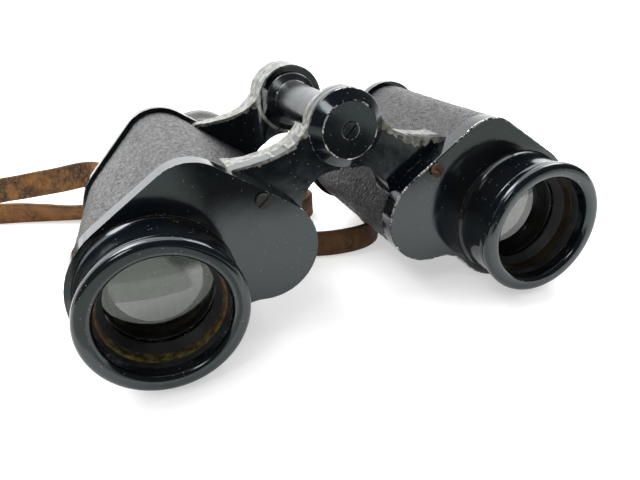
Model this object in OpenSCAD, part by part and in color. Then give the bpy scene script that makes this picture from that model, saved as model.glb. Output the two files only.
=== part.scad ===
// Prismatic binoculars with individually focused eyepieces and a leather neck strap.
// The hinge axis runs along Y at x = 0. The objectives face -Y, and the barrels stand on z = 0.

/* [Barrels] */
// Sideways distance from the hinge axis to an objective's axis
obj_x = 59; // [58.6:0.1:59.4]
// Drop from the hinge axis to an objective's axis
obj_drop = 35.8; // [35.6:0.1:36]
// Radius of the objective lobe of the housing covers
obj_lobe_r = 23.6; // [23.4:0.1:23.8]
// Overall length from the bezel to the eyecup
overall_len = 111.2; // [110.8:0.1:111.6]

/* [Objectives] */
// Radius of the bezel's bore
bezel_bore_r = 17; // [16.9:0.05:17.1]
// Outer radius of the bezel's rounded lip
bezel_r = 21.9; // [21.7:0.1:22.1]
// Radius of the objective lens
lens_r = 15.4; // [15.3:0.05:15.45]

/* [Eyepieces] */
// Sideways distance from the hinge axis to an eyepiece's axis
eye_x = 29.2; // [29:0.1:29.4]
// Drop from the hinge axis to an eyepiece's axis
eye_drop = 24.8; // [24.6:0.1:25]
// Outer radius of the eyecup's rim
eyecup_r = 16.6; // [16.2:0.1:17]
// Radial clearance of each running fit
run_gap = 0.05; // [0.03:0.01:0.08]

/* [Hinge] */
// Radius of the front hinge knuckle
front_knuckle_r = 11.5; // [11.3:0.1:11.7]
// Radius of the rear hinge knuckle
rear_knuckle_r = 11.8; // [11.6:0.1:12]
// Radius of the hinge axle
axle_r = 4; // [3.8:0.1:4.2]
// Radius of the tube around the axle
hinge_tube_r = 6.7; // [6.5:0.1:6.9]

/* [Strap] */
// Width of the leather strap
strap_w = 10.4; // [10:0.1:10.6]
// Thickness of the leather strap
strap_t = 2; // [1.8:0.1:2.2]

/* [Hidden] */
$fn = 96;

// Centres and radii of the three lobes of a barrel's outline, seen along the hinge, as [x, z]
obj_c = [obj_x, -obj_drop];
top_c = [46.8, -14.3];
top_r = 12.7;
inner_c = [27.8, -31];
inner_r = 15.7;
fillet_r = 12;
eye_c = [eye_x, -eye_drop];
// The objective lobe narrows towards the rear cover, to this centre and radius
rear_obj_c = [56, -36.9];
rear_obj_r = 21.3;
// Axis between the two prisms
mid_c = [49.6, -15.4];

hinge_h = obj_drop + obj_lobe_r;
front_y = -0.6;
mid_y = front_y + overall_len / 2;
back_y = front_y + overall_len;

// Stations along the hinge axis
cover_y = 15.6;
cover_end = 21.5;
shell_y = 17.4;
rear_y = 83.6;
shell_end = 84.6;
rear_step = 86.8;
rear_end = 88.6;
shelf_y = 51;
shelf_end = 53;

// Seat behind the bezel's bore for the retaining ring and the lens cell
seat_r = 17.2;
ring_y = 6;
cell_y = 9;

leather_out = -0.4;
shell_out = -1.2;
shell_in = -3;
rear_grow = 1.2;

// Hinge lugs: the left barrel's is in front and the right barrel's behind it, at both ends
front_lugs = [21.5, 23.85, 24.15, 26.5];
rear_lugs = [70.3, 76.7, 77, 83.4];
// Waisted top edge of a hinge arm, from its knuckle to the barrel
arm_top = [
    [10.6, 3.4], [11.5, 1.8], [12.8, 0.1], [14.6, -1.8], [17, -3.5], [20, -4.8], [24, -5.8], [28.5, -6.6],
    [34, -7.3]
];
arch_c = [3.5, -23.5];
arch_r = 11.2;
lug_gap = 0.4;
boss_r = 9.4;
boss_end = 67.8;

// Eyepiece
ocular_r = 9.4;
guide_r = 11.3;
ring_r = 14.5;

// Strap lugs behind the rear covers
lug_angle = 22;
lug_w = 15;
lug_t = 2.4;
lug_end = 95.8;
slot_w = 11.4;
slot_y = 89.8;
slot_end = 93.4;
// Way in which each strap end leaves its lug, from outwards towards the rear
strap_turn = 90;
strap_tail = 14;

// Route of the strap's middle line, from the left lug to the right one, as [x, y, z, lean in degrees]
strap_route = [
    [-71.3, 53.95, 28.7, 22], [-71.3, 56.2, 28.7, 21], [-72.4, 59.8, 28.7, 19], [-76, 62.8, 28.4, 16],
    [-80.5, 64.4, 27.8, 13], [-87, 66.5, 26.6, 11], [-95.5, 70, 25.2, 8], [-104, 73, 23.9, 5],
    [-112.5, 76, 22.8, 3], [-125, 79, 20.6, 0], [-137, 80.5, 17.4, 0], [-149, 80, 13.2, 0],
    [-159, 76.5, 9.6, 0], [-166, 70, 6.9, 0], [-171.5, 60, 5.5, 0], [-177, 48, 5.2, 0],
    [-187, 38, 5.2, 0], [-201, 32, 5.2, 0], [-218, 30.5, 5.2, 0], [-236, 31, 5.2, 0], [-254, 33, 5.2, 0],
    [-266, 41, 5.2, 0], [-273, 54, 5.2, 0], [-274, 71, 5.2, 0], [-268, 87, 5.2, 0], [-255, 99, 5.2, 0],
    [-238, 107, 5.2, 0], [-219, 111, 5.2, 0], [-199, 112, 5.2, 0], [-179, 111, 5.2, 0],
    [-160, 109, 5.2, 0], [-141, 105, 5.2, 0], [-125, 100, 5.2, 0], [-110, 95, 5.1, 8],
    [-98, 90, 4.8, 20], [-86, 85, 4.4, 32], [-72, 80, 4.6, 26], [-56, 75, 5, 12], [-38, 70, 5.2, 0],
    [-20, 65, 5.2, 0], [-4, 61, 5.2, 0], [8, 57, 5.2, 0], [15, 51, 5.2, 0], [16, 44, 5.2, 0],
    [11, 38, 5.2, 0], [2, 33, 5.2, 0], [-7, 28, 5.2, 0], [-11, 20, 5.2, 0], [-9, 11, 5.2, 0],
    [-1, 4.5, 5.2, 0], [10, 0.8, 5.2, 0], [22, 1, 5.2, 0], [30, 6, 5.2, 0], [33, 15, 5.2, 0],
    [34, 27, 5.2, 0], [37, 38, 5.2, 0], [45, 47, 5.2, 0], [56, 55, 5.2, 0], [67, 63, 5.2, 0],
    [77, 71, 5.3, 0], [86, 78.5, 5.8, 0], [94, 85.5, 7.4, 0], [100.5, 90.5, 10.4, 0],
    [104, 91.5, 14.6, -2], [102.5, 88.5, 19.2, -5], [97, 83.5, 23.4, -9], [90, 78.3, 25.8, -12],
    [82.5, 72.5, 27.6, -16], [76, 66.5, 28.4, -19], [72.3, 61, 28.7, -21], [71.3, 56.2, 28.7, -22],
    [71.3, 53.95, 28.7, -22]
];

// Plane geometry

function unit(v) = v / norm(v);
function turned(v) = [-v[1], v[0]];
// Unit normal of the outer tangent on the left of the way from circle a to circle b
function tangent(a, ra, b, rb) =
    let(u = unit(b - a), k = (ra - rb) / norm(b - a)) u * k + turned(u) * sqrt(1 - k * k);
// Where two circles meet, on the right of the way from a to b
function meeting(a, ra, b, rb) =
    let(d = norm(b - a), u = unit(b - a), k = (ra * ra - rb * rb + d * d) / (2 * d))
    a + u * k - turned(u) * sqrt(ra * ra - k * k);

// Point on a circle, and points along an arc from one direction to another
function polar(r, a) = [r * cos(a), r * sin(a)];
function heading(v) = atan2(v[1], v[0]);
function arc(c, r, a, b, n) = [for (i = [0:n]) c + polar(r, a + (b - a) * i / n)];
// The angle b brought within one turn below a, or above it
function below(a, b) = b > a ? b - 360 : b;
function above(a, b) = b < a ? b + 360 : b;

// The objective lobe at a share of the way from the front cover to the rear cover
function lobe_c(share) = obj_c + (rear_obj_c - obj_c) * share;
function lobe_r(share) = obj_lobe_r + (rear_obj_r - obj_lobe_r) * share;
function share_at(y) = (y - shell_y) / (shell_end - shell_y);

// A barrel's outline seen along the hinge, moved outwards by grow: three lobes and a fillet below
function outline_points(grow, share) =
    let(
        oc = lobe_c(share),
        or = lobe_r(share),
        fc = meeting(inner_c, inner_r + fillet_r, oc, or + fillet_r),
        n1 = heading(tangent(inner_c, inner_r, top_c, top_r)),
        n2 = heading(tangent(top_c, top_r, oc, or)),
        start = heading(fc - inner_c),
        foot = heading(fc - oc),
        from_obj = heading(oc - fc),
        from_inner = heading(inner_c - fc)
    )
    concat(
        arc(inner_c, inner_r + grow, start, below(start, n1), 24),
        arc(top_c, top_r + grow, n1, below(n1, n2), 20),
        arc(oc, or + grow, n2, below(n2, foot), 32),
        [for (p = arc(fc, fillet_r - grow, from_obj, above(from_obj, from_inner), 10)) p]
    );

module disc(at, r) translate(at) circle(r);
module outline(grow = 0, share = 0) polygon(outline_points(grow, share));

// The barrel's tapering solid between stations a and b
module loft(grow, a, b) {
    front = outline_points(grow, share_at(a));
    rear = outline_points(grow, share_at(b));
    n = len(front);
    polyhedron(
        points = concat([for (p = front) [p[0], a, p[1]]], [for (p = rear) [p[0], b, p[1]]]),
        faces = concat(
            [[for (i = [0:n - 1]) i], [for (i = [n - 1:-1:0]) n + i]],
            [for (i = [0:n - 1]) [n + i, (i + 1) % n, i]],
            [for (i = [0:n - 1]) [n + i, n + (i + 1) % n, (i + 1) % n]]
        )
    );
}

// A hinge arm's outline: knuckle, waisted top edge and arch below
module arm_outline(knuckle_r) {
    difference() {
        polygon(concat([[0, 0]], arm_top, [top_c, inner_c, arch_c + [arch_r, -0.5], arch_c]));
        disc(arch_c, arch_r);
    }
    circle(knuckle_r);
}

// Space helpers

// Extrudes an [x, z] outline from station a to station b
module slab(a, b) translate([0, b, 0]) rotate([90, 0, 0]) linear_extrude(b - a) children();
// Turns an [r, y] profile about the axis along Y through [x, z]
module lathe(at) translate([at[0], 0, at[1]]) rotate([-90, 0, 0]) rotate_extrude() children();
module plug(at, r, a, b) slab(a, b) disc(at, r);
module tube(at, r_out, r_in, a, b) {
    difference() {
        plug(at, r_out, a, b);
        plug(at, r_in, a - 1, b + 1);
    }
}
// Puts a right-hand shape into the model's frame, mirrored for the left barrel
module barrel(side) translate([0, -mid_y, hinge_h]) mirror([side == "left" ? 1 : 0, 0, 0]) children();
module centre() translate([0, -mid_y, hinge_h]) children();

// One arm of a barrel's hinge: knuckle radius, station range of both barrels' lugs, outline seen from above
module arm(side, knuckle_r, lugs, plan) {
    own = side == "left" ? [lugs[0], lugs[1]] : [lugs[2], lugs[3]];
    bore_r = side == "left" ? axle_r : axle_r + run_gap;
    difference() {
        intersection() {
            slab(20, 90) arm_outline(knuckle_r);
            linear_extrude(200, center = true) polygon(plan);
        }
        plug([0, 0], knuckle_r + lug_gap, own[1], 95);
        plug([0, 0], knuckle_r + lug_gap, 0, own[0]);
        plug([0, 0], bore_r, 0, 100);
    }
}

front_plan = [
    [-20, 21.5], [60, 21.5], [60, 37], [35, 35.5], [32.5, 32], [29, 30.6], [10.5, 30.6], [10.5, 26.5],
    [-20, 26.5]
];
rear_plan = [
    [-20, 70.3], [11, 70.3], [14, 73.5], [18, 75.6], [24, 76.6], [30, 78], [36, 80.6], [60, 80.6],
    [60, 83.4], [-20, 83.4]
];

module front_arm(side) {
    color("#1b1c1f") barrel(side) difference() {
        arm(side, front_knuckle_r, front_lugs, front_plan);
        loft(shell_out, 15, 40);
    }
}

module rear_arm(side) {
    color("#1b1c1f") barrel(side) difference() {
        arm(side, rear_knuckle_r, rear_lugs, rear_plan);
        loft(shell_out, 60, 90);
    }
}

// A tapering band between stations a and b: rings outside at front and rear, then inside at rear and front
module band(outer, inner, a, b) {
    n = len(outline_points(0, 0));
    polyhedron(
        points = [
            for (ring = [[outer, a], [outer, b], [inner, b], [inner, a]])
            let(near = outline_points(ring[0], 0), far = outline_points(ring[0], 1), t = share_at(ring[1]))
            for (i = [0:n - 1]) let(p = near[i] * (1 - t) + far[i] * t) [p[0], ring[1], p[1]]
        ],
        faces = [
            for (k = [0:3]) for (i = [0:n - 1])
            let(j = (k + 1) % 4 * n, m = (i + 1) % n, q = [j + i, j + m, k * n + m, k * n + i])
            for (face = k == 2 ? [[0, 1, 3], [1, 2, 3]] : [[0, 2, 3], [0, 1, 2]])
            [for (corner = face) q[corner]]
        ]
    );
}

// The barrel's cast shell, with a shelf for its prisms and three light wells through the shelf
module housing(side) {
    color("#17181a") barrel(side) {
        difference() {
            union() {
                band(shell_out, shell_in, shell_y, shell_end);
                slab(shelf_y, shelf_end) outline(shell_in + 0.8, share_at((shelf_y + shelf_end) / 2));
            }
            for (well = [obj_c, mid_c, eye_c]) plug(well, 6.4, shelf_y - 1, shelf_end + 1);
        }
    }
}

module leather(side) color("#2b2c2e") barrel(side) band(leather_out, shell_out + 0.3, cover_end, rear_y);

module front_cover(side) {
    color("#141517") barrel(side) difference() {
        slab(cover_y, cover_end) outline(0);
        slab(shell_y, cover_end + 1) outline(shell_out);
        plug(obj_c, 18.5, cover_y - 1, cover_end);
        plug([27.75, -15.3], 1.2, cover_y - 1, cover_end);
    }
}

module rear_cover(side) {
    color("#141517") barrel(side) difference() {
        union() {
            slab(rear_y, rear_step) outline(rear_grow, 1);
            slab(rear_step, rear_end) outline(-2, 1);
        }
        slab(rear_y - 1, shell_end) outline(shell_out, 1);
        slab(shell_end - 1, rear_step - 1.4) outline(-1.8, 1);
        plug(eye_c, ocular_r + 0.3, rear_y, rear_end + 1);
        for (at = [[45, -13], [62, -40]]) plug(at, 1.2, rear_y, rear_end + 1);
    }
}

module objective_tube(side) {
    lip_r = 1.7;
    color("#121315") barrel(side) lathe(obj_c) difference() {
        union() {
            translate([bezel_r - lip_r, front_y + lip_r]) circle(lip_r);
            polygon([
                [16, front_y], [bezel_r - lip_r, front_y], [bezel_r, front_y + lip_r], [bezel_r - 0.2, 2.4],
                [bezel_r - 1, 3.6], [20.9, 4.6], [20.8, 12.5], [21.2, 14.3], [21.8, 15.2],
                [21.8, cover_y], [18.5, cover_y], [18.5, 20.4], [16, 20.4]
            ]);
        }
        translate([0, -2]) square([bezel_bore_r, 8]);
        translate([0, ring_y]) square([seat_r, 20]);
        polygon([
            [0, -1], [bezel_bore_r + 0.6, -1], [bezel_bore_r + 0.6, -0.4], [bezel_bore_r, 0.2], [0, 0.2]
        ]);
    }
}

module objective_ring(side) color("#7c6a3c") barrel(side) tube(obj_c, seat_r, 16.2, ring_y, cell_y);

module objective_cell(side) {
    color("#101010") barrel(side) lathe(obj_c) polygon([
        [seat_r, cell_y], [16, cell_y], [15.2, 11], [14.6, 12.2], [lens_r, 12.2], [lens_r, 18.6],
        [seat_r, 18.6]
    ]);
}

// Depth of a spherical cap of height sag over a lens of radius r, at a share of that radius
function cap_depth(r, sag, share) =
    let(ball = (r * r + sag * sag) / (2 * abs(sag)))
    sign(sag) * (sqrt(ball * ball - r * r * share * share) - ball + abs(sag));

// A lens with its rim between stations a and b, bulging forwards and backwards by the given sags
module lens(at, r, a, b, front_sag, rear_sag) {
    n = 8;
    lathe(at) polygon(concat(
        [for (i = [0:n]) [r * i / n, a - cap_depth(r, front_sag, i / n)]],
        [for (i = [n:-1:0]) [r * i / n, b + cap_depth(r, rear_sag, i / n)]]
    ));
}

module objective_crown(side) color("#9fb4b0", 0.5) barrel(side) lens(obj_c, lens_r, 12.6, 15.2, 1.2, 1.3);
module objective_flint(side) color("#93a8a4", 0.5) barrel(side) lens(obj_c, lens_r, 15.4, 18.4, -1.3, -0.4);

// A right-angle prism on the shelf, its long face at station y0, between the light wells a and b
module prism(a, b, y0, dir) {
    long = 19;
    span = b - a;
    intersection() {
        translate([(a[0] + b[0]) / 2, y0, (a[1] + b[1]) / 2]) rotate([0, -atan2(span[1], span[0]), 0])
            linear_extrude(15, center = true)
            polygon([[-long, 0], [long, 0], [1.5, dir * (long - 1.5)], [-1.5, dir * (long - 1.5)]]);
        loft(shell_in - 0.4, 25, 82);
    }
}

module rear_prism(side) color("#cfdad8", 0.6) barrel(side) prism(obj_c, mid_c, shelf_end, 1);
module front_prism(side) color("#cfdad8", 0.6) barrel(side) prism(mid_c, eye_c, shelf_y, -1);

// A spring strip over a prism's blunt apex, with a leg on each side down to the shelf
module prism_clip(a, b, y0, dir) {
    apex = 17.5;
    span = b - a;
    translate([(a[0] + b[0]) / 2, y0, (a[1] + b[1]) / 2]) rotate([0, -atan2(span[1], span[0]), 0])
        rotate([0, 90, 0]) linear_extrude(5, center = true) difference() {
            translate([-8.4, dir > 0 ? 0 : -apex - 0.8]) square([16.8, apex + 0.8]);
            translate([-7.6, dir > 0 ? -1 : -apex]) square([15.2, apex + 1]);
        }
}

module prism_clips(side) {
    color("#a88f4a") barrel(side) {
        prism_clip(obj_c, mid_c, shelf_end, 1);
        prism_clip(mid_c, eye_c, shelf_y, -1);
    }
}

// A slotted screw: head from station y0 towards dir, shank the other way
module screw(at, head_r, head_h, shank_r, shank_l, y0, dir, slot_turn = 40) {
    difference() {
        union() {
            plug(at, head_r, min(y0, y0 + dir * head_h), max(y0, y0 + dir * head_h));
            plug(at, shank_r, min(y0, y0 - dir * shank_l), max(y0, y0 - dir * shank_l));
        }
        translate([at[0], y0 + dir * head_h, at[1]]) rotate([0, slot_turn, 0])
            cube([2 * head_r + 1, 1, 0.7], center = true);
    }
}

module cover_screws(side) {
    color("#6d5238") barrel(side) {
        screw([27.75, -15.3], 2.2, 1.1, 1.2, 1.8, cover_y, -1);
        for (at = [[45, -13], [62, -40]]) screw(at, 2.2, 1, 1.2, 1.8, rear_end, 1);
    }
}

module eyepiece_guide(side) {
    color("#1a1b1d") barrel(side) lathe(eye_c) polygon([
        [ocular_r + run_gap, rear_end], [13, rear_end], [13, 89.8], [guide_r, 89.8], [guide_r, 94],
        [ocular_r + run_gap, 94]
    ]);
}

module ocular_tube(side) {
    color("#2a2a2a") barrel(side) lathe(eye_c) polygon([
        [8.2, 86.8], [ocular_r, 86.8], [ocular_r, 96.2], [10.9, 96.2], [10.9, 97.2], [ocular_r, 97.2],
        [ocular_r, 103], [8.2, 103]
    ]);
}

module field_lens(side) color("#c4d2d0", 0.5) barrel(side) lens(eye_c, 8.2, 88.4, 90.4, 0.6, 1);
module eye_lens(side) color("#c4d2d0", 0.5) barrel(side) lens(eye_c, 8.2, 99.4, 101.8, 1, 0.8);
module ocular_retainer(side) color("#8a7440") barrel(side) tube(eye_c, 11, ocular_r, 101.7, 103);

module dioptre_ring(side) {
    color("#1c1d1f") barrel(side) lathe(eye_c) polygon([
        [guide_r + run_gap, 92.4], [13.6, 92.4], [ring_r, 93.4], [ring_r, 98], [13.4, 98],
        [13.4, 101.4], [ocular_r + run_gap, 101.4], [ocular_r + run_gap, 97.4],
        [guide_r + run_gap, 97.4]
    ]);
}

module eyecup(side) {
    rim = 1.2;
    color("#0f0f10") barrel(side) lathe(eye_c) difference() {
        union() {
            polygon([
                [8.6, 103.3], [13.4, 98], [14.7, 98], [14.9, 101], [eyecup_r, 104.5],
                [eyecup_r, back_y - rim], [eyecup_r - rim, back_y], [8.6, back_y]
            ]);
            translate([eyecup_r - rim, back_y - rim]) circle(rim);
        }
        translate([0, 97]) square([13.4, 6.3]);
        polygon([[0, 90], [8.6, 90], [8.6, 104.5], [12.8, 105.6], [13.8, back_y + 1], [0, back_y + 1]]);
    }
}

// Places children at a strap lug: X outwards from the lobe, Z along its edge
module at_lug() translate([rear_obj_c[0], 0, rear_obj_c[1]]) rotate([0, -lug_angle, 0]) children();
lug_x = rear_obj_r - 6;

// Strap lug: a slotted plate that stands on the rear cover
module strap_lug(side) {
    color("#24262a") barrel(side) at_lug() difference() {
        translate([lug_x, rear_end, -lug_w / 2]) cube([lug_t, lug_end - rear_end, lug_w]);
        translate([lug_x - 1, slot_y, -slot_w / 2]) cube([lug_t + 2, slot_end - slot_y, slot_w]);
    }
}

// Strap end: a band folded round the lug's rear bar and doubled on itself
module strap_end(side) {
    bar = [lug_x + lug_t / 2, (slot_end + lug_end) / 2];
    bar_r = 1.9;
    color("#6b4526") barrel(side) at_lug() linear_extrude(strap_w, center = true)
        translate(bar) rotate(strap_turn) difference() {
            union() {
                circle(bar_r + strap_t);
                translate([0, -strap_t]) square([strap_tail, 2 * strap_t]);
            }
            circle(bar_r);
        }
}

module strap_keeper(side) {
    bar = [lug_x + lug_t / 2, (slot_end + lug_end) / 2];
    over = strap_t + 1;
    color("#5a381d") barrel(side) at_lug() translate([bar[0], bar[1], 0]) rotate([0, 0, strap_turn])
        difference() {
            translate([6, -over, -strap_w / 2 - 1]) cube([5, 2 * over, strap_w + 2]);
            translate([5, -strap_t, -strap_w / 2]) cube([7, 2 * strap_t, strap_w]);
        }
}

module hinge_axle() {
    color("#9a9a98") centre() difference() {
        plug([0, 0], axle_r, front_lugs[0], rear_lugs[3]);
        plug([0, 0], 1.5, front_lugs[0] - 1, front_lugs[0] + 7);
        plug([0, 0], 1.5, rear_lugs[3] - 7, rear_lugs[3] + 1);
    }
}

module hinge_tube() {
    gap = 0.2;
    color("#1a1b1e") centre() lathe([0, 0]) polygon([
        [axle_r, front_lugs[3] + gap], [9.5, front_lugs[3] + gap], [8, 28], [hinge_tube_r, 29],
        [hinge_tube_r, boss_end - 1], [8, boss_end], [boss_r, boss_end + 1],
        [boss_r, rear_lugs[0] - gap], [axle_r, rear_lugs[0] - gap]
    ]);
}

module hinge_cap() {
    color("#111214") centre() lathe([0, 0]) polygon([
        [1.5, 18.9], [2.5, 18.9], [2.5, 17.9], [8.4, 17.9], [front_knuckle_r, 20.8],
        [front_knuckle_r, 21.3], [1.5, 21.3]
    ]);
}

module hinge_cap_screw() color("#55504a") centre() screw([0, 0], 2.4, 1.3, 1.5, 7, 18.9, -1, -45);

module hinge_rear_cap() {
    color("#111214") centre() lathe([0, 0]) polygon([
        [1.5, 83.6], [11.2, 83.6], [11.2, 84.6], [9, 86.8], [2.5, 86.8], [2.5, 85.8], [1.5, 85.8]
    ]);
}

module hinge_rear_screw() color("#55504a") centre() screw([0, 0], 2.4, 1.3, 1.5, 7, 85.8, 1, -45);

// Strap

// Corners of the strap's section, as [across, up]
strap_section = [
    for (s = [[1, -0.8], [0.6, -1], [-0.6, -1], [-1, -0.8], [-1, 0.8], [-0.6, 1], [0.6, 1], [1, 0.8]])
        [s[0] * strap_t / 2, s[1] * strap_w / 2]
];

// One ring of the strap at point i: its section leans about the way ahead
function strap_ring(i) =
    let(
        n = len(strap_route),
        p = strap_route[i],
        q = strap_route[min(i + 1, n - 1)],
        o = strap_route[max(i - 1, 0)],
        ahead = unit([q[0] - o[0], q[1] - o[1], q[2] - o[2]]),
        side = unit([ahead[1], -ahead[0], 0]),
        up = cross(side, ahead),
        lean = p[3],
        across = side * cos(lean) - up * sin(lean),
        high = up * cos(lean) + side * sin(lean)
    )
    [for (s = strap_section) [p[0], p[1], p[2]] + across * s[0] + high * s[1]];

module strap_band() {
    k = len(strap_section);
    n = len(strap_route);
    color("#6b4526") polyhedron(
        points = [for (i = [0:n - 1]) each strap_ring(i)],
        faces = [
            [for (j = [0:k - 1]) j],
            for (i = [0:n - 2], j = [0:k - 1]) [i * k + j, (i + 1) * k + j, i * k + (j + 1) % k],
            for (i = [0:n - 2], j = [0:k - 1])
                [(i + 1) * k + j, (i + 1) * k + (j + 1) % k, i * k + (j + 1) % k],
            [for (j = [k - 1:-1:0]) (n - 1) * k + j]
        ]
    );
}

housing("left");  // left_housing
front_arm("left");  // left_front_arm
rear_arm("left");  // left_rear_arm
leather("left");  // left_leather
front_cover("left");  // left_front_cover
rear_cover("left");  // left_rear_cover
objective_tube("left");  // left_objective_tube
objective_ring("left");  // left_objective_ring
objective_cell("left");  // left_objective_cell
objective_crown("left");  // left_objective_crown
objective_flint("left");  // left_objective_flint
rear_prism("left");  // left_rear_prism
front_prism("left");  // left_front_prism
prism_clips("left");  // left_prism_clips
cover_screws("left");  // left_cover_screws
eyepiece_guide("left");  // left_eyepiece_guide
ocular_tube("left");  // left_ocular_tube
field_lens("left");  // left_field_lens
eye_lens("left");  // left_eye_lens
ocular_retainer("left");  // left_ocular_retainer
dioptre_ring("left");  // left_dioptre_ring
eyecup("left");  // left_eyecup
strap_lug("left");  // left_strap_lug
strap_end("left");  // left_strap_end
strap_keeper("left");  // left_strap_keeper
housing("right");  // right_housing
front_arm("right");  // right_front_arm
rear_arm("right");  // right_rear_arm
leather("right");  // right_leather
front_cover("right");  // right_front_cover
rear_cover("right");  // right_rear_cover
objective_tube("right");  // right_objective_tube
objective_ring("right");  // right_objective_ring
objective_cell("right");  // right_objective_cell
objective_crown("right");  // right_objective_crown
objective_flint("right");  // right_objective_flint
rear_prism("right");  // right_rear_prism
front_prism("right");  // right_front_prism
prism_clips("right");  // right_prism_clips
cover_screws("right");  // right_cover_screws
eyepiece_guide("right");  // right_eyepiece_guide
ocular_tube("right");  // right_ocular_tube
field_lens("right");  // right_field_lens
eye_lens("right");  // right_eye_lens
ocular_retainer("right");  // right_ocular_retainer
dioptre_ring("right");  // right_dioptre_ring
eyecup("right");  // right_eyecup
strap_lug("right");  // right_strap_lug
strap_end("right");  // right_strap_end
strap_keeper("right");  // right_strap_keeper
hinge_axle();
hinge_tube();
hinge_cap();
hinge_cap_screw();
hinge_rear_cap();
hinge_rear_screw();
strap_band();
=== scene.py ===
"""Looks of a pair of prismatic binoculars with a leather neck strap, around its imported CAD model.

Points written in millimetres in the barrel's own frame have the hinge axis at x = 0, z = 0 and the
bezels' front at y = 0. The function place turns them into metres in the CAD frame.
"""

import math

import bmesh
import bpy
from mathutils import Matrix, Vector, noise


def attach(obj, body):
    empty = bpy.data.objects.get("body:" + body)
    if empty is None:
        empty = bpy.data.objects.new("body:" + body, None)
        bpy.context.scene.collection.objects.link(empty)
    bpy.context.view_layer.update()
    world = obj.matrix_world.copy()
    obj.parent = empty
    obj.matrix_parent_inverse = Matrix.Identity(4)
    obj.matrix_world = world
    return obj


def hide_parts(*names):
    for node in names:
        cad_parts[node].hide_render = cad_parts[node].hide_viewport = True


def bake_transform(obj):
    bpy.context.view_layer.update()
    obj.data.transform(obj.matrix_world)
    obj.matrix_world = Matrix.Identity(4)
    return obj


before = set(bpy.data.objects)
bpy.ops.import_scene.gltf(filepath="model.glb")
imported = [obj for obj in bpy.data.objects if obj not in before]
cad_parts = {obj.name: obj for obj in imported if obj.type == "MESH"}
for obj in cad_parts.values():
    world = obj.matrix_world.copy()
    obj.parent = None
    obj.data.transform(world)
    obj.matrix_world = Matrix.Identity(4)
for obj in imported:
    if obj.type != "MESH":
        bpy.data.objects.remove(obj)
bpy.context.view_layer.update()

MM = 0.001
HINGE_Y = 55.0
HINGE_Z = 59.4
SIDES = {"left": -1, "right": 1}


def place(x, y, z, side=1):
    """A point of the barrel's own frame, in metres in the CAD frame."""
    return Vector((side * x, y - HINGE_Y, z + HINGE_Z)) * MM


# ---------------------------------------------------------------- camera

camera_data = bpy.data.cameras.new("camera")
camera_data.lens = 30.07
camera_data.sensor_width = 36.0
camera_data.clip_start = 0.01
camera_data.clip_end = 60.0
camera_data.dof.use_dof = False
camera = bpy.data.objects.new("camera", camera_data)
bpy.context.scene.collection.objects.link(camera)
YAW, PITCH, ROLL = 0.3595, 0.4535, -0.0435
forward = Vector((math.sin(YAW) * math.cos(PITCH), math.cos(YAW) * math.cos(PITCH), -math.sin(PITCH)))
level = Vector((math.cos(YAW), -math.sin(YAW), 0.0))
upward = level.cross(forward)
right_way = math.cos(ROLL) * level + math.sin(ROLL) * upward
up_way = -math.sin(ROLL) * level + math.cos(ROLL) * upward
turn = Matrix((right_way, up_way, -forward)).transposed().to_4x4()
camera.matrix_world = Matrix.Translation((-0.06171, -0.17290, 0.09804)) @ turn
bpy.context.scene.camera = camera


# ---------------------------------------------------------------- mesh helpers


def new_object(name, verts, faces, materials, indices=None, smooth=True):
    """A mesh object from points in metres and faces, with its materials."""
    mesh = bpy.data.meshes.new(name)
    mesh.from_pydata([tuple(v) for v in verts], [], faces)
    for material in materials:
        mesh.materials.append(material)
    if indices:
        mesh.polygons.foreach_set("material_index", indices)
    mesh.polygons.foreach_set("use_smooth", [smooth] * len(mesh.polygons))
    mesh.update()
    obj = bpy.data.objects.new(name, mesh)
    bpy.context.scene.collection.objects.link(obj)
    return obj


def outward(obj):
    """Turns the faces of a closed mesh outwards."""
    bm = bmesh.new()
    bm.from_mesh(obj.data)
    bmesh.ops.recalc_face_normals(bm, faces=bm.faces)
    bm.to_mesh(obj.data)
    bm.free()
    return obj


def grid_faces(rows, columns, close_rows, close_columns):
    """Quads over a grid of points stored row by row."""
    faces = []
    for i in range(rows if close_rows else rows - 1):
        for j in range(columns if close_columns else columns - 1):
            a, b = i * columns, (i + 1) % rows * columns
            k = (j + 1) % columns
            faces.append((a + j, a + k, b + k, b + j))
    return faces


def natural_curve(points, step):
    """Points every step along a Catmull-Rom curve through the given points; each may have extra values."""
    fine = []
    n, pieces = len(points), 12

    def between(a, b, c, d, t):
        square, cube = 2 * a - 5 * b + 4 * c - d, 3 * b - a - 3 * c + d
        return 0.5 * (2 * b + (c - a) * t + square * t * t + cube * t**3)

    for i in range(n - 1):
        four = [points[min(max(k, 0), n - 1)] for k in (i - 1, i, i + 1, i + 2)]
        fine += [[between(*values, s / pieces) for values in zip(*four)] for s in range(pieces)]
    fine.append(list(points[-1]))
    out, carried = [fine[0]], 0.0
    for a, b in zip(fine, fine[1:]):
        gap = math.dist(a[:3], b[:3])
        while carried + gap >= step:
            t = (step - carried) / gap
            a = [x + (y - x) * t for x, y in zip(a, b)]
            out.append(a)
            gap = math.dist(a[:3], b[:3])
            carried = 0.0
        carried += gap
    out.append(fine[-1])
    return out


def arc_points(centre, radius, start, end, count):
    angles = [start + (end - start) * i / count for i in range(count + 1)]
    return [(centre[0] + radius * math.cos(a), centre[1] + radius * math.sin(a)) for a in angles]


# ---------------------------------------------------------------- material helpers


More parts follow.
